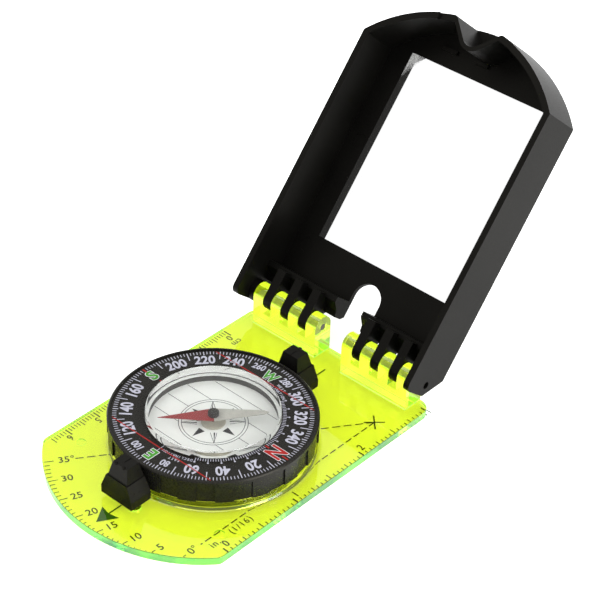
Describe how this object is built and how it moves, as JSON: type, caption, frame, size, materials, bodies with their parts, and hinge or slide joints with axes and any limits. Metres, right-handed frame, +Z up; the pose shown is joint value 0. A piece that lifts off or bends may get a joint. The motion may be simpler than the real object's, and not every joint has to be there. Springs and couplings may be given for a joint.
{
  "type": "sighting compass",
  "caption": "Mirror sighting compass: clear baseplate with scales, rotating graduated dial, liquid capsule with a swinging needle, sight blocks and a hinged mirror cover",
  "frame": {"origin": "point where the dial axis meets the plane of the baseplate's flat underside; the object rests on that plane", "axes": "+X to the side with the inch scale, +Y from the curved nose to the hinge and the mirror cover, +Z up out of the dial; stored with the cover open by 130 degrees"},
  "size_m": [0.064, 0.1579, 0.0858],
  "materials": {
    "plate_acrylic": "clear fluorescent yellow-green moulded plastic with polished faces and glowing edges",
    "black_plastic": "satin black moulded plastic with a fine texture",
    "black_rubber": "soft black rubber",
    "steel": "bright nickel-plated steel",
    "capsule_acrylic": "polished clear plastic",
    "card_white": "white printed film",
    "pivot_beige": "beige moulded plastic",
    "needle_red": "red lacquer on thin steel",
    "needle_pale": "pale lacquer on thin steel",
    "magnet_steel": "dark magnet steel",
    "hub_grey": "dark grey plastic",
    "jewel": "polished sapphire-like bearing cup",
    "mirror_silver": "silvered glass",
    "adhesive_tape": "double-sided tape"
  },
  "bodies": {
    "base": {"baseplate": "plate_acrylic", "front_sight": "black_plastic", "rear_sight": "black_plastic", "front_sight_screws": "steel", "rear_sight_screws": "steel"},
    "dial": {"dial_ring": "black_plastic", "dial_drag_ring": "black_rubber", "dial_retainer": "black_plastic"},
    "capsule": {"capsule_cup": "capsule_acrylic", "capsule_gasket": "capsule_acrylic", "capsule_lens": "capsule_acrylic", "capsule_plug": "black_rubber", "orienting_card": "card_white", "pivot_base": "pivot_beige", "pivot_pin": "steel"},
    "needle": {"needle_north": "needle_red", "needle_south": "needle_pale", "needle_magnet": "magnet_steel", "needle_hub": "hub_grey", "needle_jewel": "jewel"},
    "cover": {"cover_shell": "black_plastic", "cover_mirror": "mirror_silver", "mirror_adhesive": "adhesive_tape", "hinge_pin_left": "steel", "hinge_pin_right": "steel"}
  },
  "joints": [
    {"name": "cover_hinge", "type": "hinge", "parent": "base", "child": "cover", "pos_m": [0, 0.0478, 0.0112], "axis": [1, 0, 0], "range_deg": [-50, 130]},
    {"name": "dial_turn", "type": "hinge", "parent": "base", "child": "dial", "pos_m": [0, 0, 0.008], "axis": [0, 0, 1], "continuous": true},
    {"name": "declination_turn", "type": "hinge", "parent": "dial", "child": "capsule", "pos_m": [0, 0, 0.008], "axis": [0, 0, 1], "range_deg": [-60, 60]},
    {"name": "needle_swing", "type": "hinge", "parent": "capsule", "child": "needle", "pos_m": [0, 0, 0.01], "axis": [0, 0, 1], "continuous": true}
  ]
}
